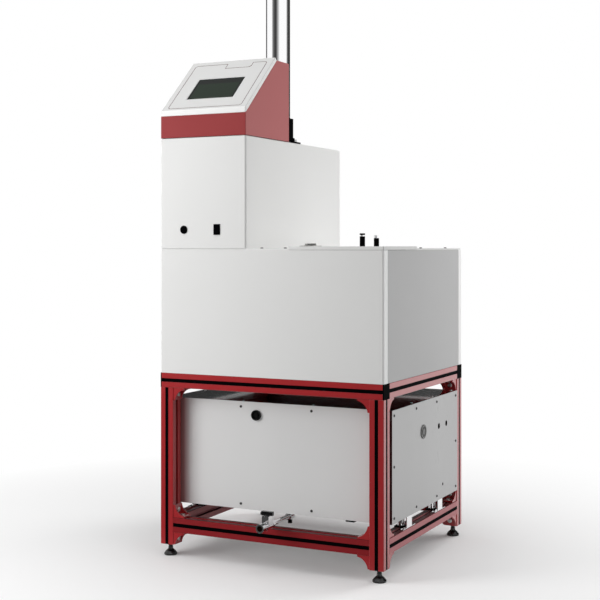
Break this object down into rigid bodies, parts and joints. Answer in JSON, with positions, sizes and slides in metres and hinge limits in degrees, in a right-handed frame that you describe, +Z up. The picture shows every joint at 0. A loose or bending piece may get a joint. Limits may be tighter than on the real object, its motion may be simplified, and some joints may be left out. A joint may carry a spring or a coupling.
{
  "type": "reflow oven",
  "caption": "Floor-standing batch reflow oven on a slotted-profile frame, with a lidded chamber, a control tower, a tilting screen head, a flue and a case slung below.",
  "frame": {"origin": "on the floor, in the middle of the four levelling feet (mount stance)", "axes": "+Z up along the flue, -Y towards the operator (the front, where the drain outlet points), +X to the operator's right"},
  "size_m": [0.6738, 0.676, 1.6795],
  "materials": {
    "frame_red": "satin red powder coat on aluminium profile",
    "head_red": "satin red powder coat on sheet steel",
    "white_paint": "satin off-white powder coat on sheet steel",
    "case_metal": "matt anodised sheet",
    "black_plastic": "matt black moulded plastic",
    "black_metal": "black oxide and paint on steel",
    "zinc_steel": "zinc-plated and nickelled steel",
    "stainless": "plain stainless sheet and wire",
    "polished_steel": "polished steel",
    "screen": "glossy dark touchscreen",
    "wool": "mineral wool board",
    "seal_rubber": "dark silicone rubber",
    "heater_sheath": "dark oxidised heater tube"
  },
  "bodies": {
    "oven": {"cross_top_beams": "frame_red", "side_top_beams": "frame_red", "front_posts": "frame_red", "rear_posts": "frame_red", "cross_lower_beams": "frame_red", "side_lower_beams": "frame_red", "slot_strips": "black_plastic", "end_caps": "black_plastic", "corner_brackets": "frame_red", "bracket_screws": "zinc_steel", "levelling_feet": "black_plastic", "casing_floor": "white_paint", "front_cover": "white_paint", "rear_cover": "white_paint", "left_panel": "white_paint", "right_panel": "white_paint", "top_plate": "white_paint", "lid_seal": "seal_rubber", "lid_hinge_base": "zinc_steel", "chamber": "stainless", "insulation": "wool", "chamber_legs": "zinc_steel", "baffle": "stainless", "board_rack": "stainless", "ring_heater": "heater_sheath", "temperature_probe": "stainless", "fan_motor": "black_metal", "exhaust_duct": "stainless", "flue": "polished_steel", "flue_flange": "stainless", "tower_shell": "white_paint", "tower_back": "white_paint", "start_button_collar": "black_plastic", "rocker_frame": "black_plastic", "head_hinge_base": "black_metal", "case_body": "case_metal", "case_front_panel": "case_metal", "case_side_panels": "case_metal", "case_fittings": "black_plastic", "case_buffers": "polished_steel", "buffer_plates": "black_plastic", "cover_screws": "zinc_steel", "drain_pipe": "stainless", "drain_fitting": "black_plastic", "drain_valve": "zinc_steel"},
    "lid": {"lid": "white_paint", "lid_liner": "stainless", "lid_hinge_leaf": "zinc_steel", "lid_knobs": "black_plastic", "knob_collars": "polished_steel"},
    "head": {"head_housing": "head_red", "bezel": "white_paint", "bezel_stripe": "head_red", "touchscreen": "screen", "head_hinge_leaf": "black_metal"},
    "drain_lever": {"drain_lever": "black_metal"},
    "start_button": {"start_button": "black_plastic"},
    "rocker": {"rocker": "black_plastic"},
    "fan": {"fan_shaft": "zinc_steel", "fan_wheel": "stainless"}
  },
  "joints": [
    {"name": "lid_hinge", "type": "hinge", "parent": "oven", "child": "lid", "pos_m": [0.06, -0.16, 0.8546], "axis": [0, -1, 0], "range_deg": [0, 105]},
    {"name": "head_tilt", "type": "hinge", "parent": "oven", "child": "head", "pos_m": [-0.198, -0.012, 1.157], "axis": [-1, 0, 0], "range_deg": [0, 40]},
    {"name": "drain_turn", "type": "hinge", "parent": "oven", "child": "drain_lever", "pos_m": [0.02, -0.334, 0.15], "axis": [0, 0, 1], "range_deg": [0, 90]},
    {"name": "button_press", "type": "slide", "parent": "oven", "child": "start_button", "axis": [0, 1, 0], "range_m": [0, 0.0025], "stiffness_N_per_m": 500, "springref_m": -0.002},
    {"name": "rocker_tilt", "type": "hinge", "parent": "oven", "child": "rocker", "pos_m": [-0.153, -0.296, 0.896], "axis": [1, 0, 0], "range_deg": [0, 16]},
    {"name": "fan_spin", "type": "hinge", "parent": "oven", "child": "fan", "pos_m": [0.197, -0.1815, 0.63], "axis": [0, 0, 1], "continuous": true}
  ]
}
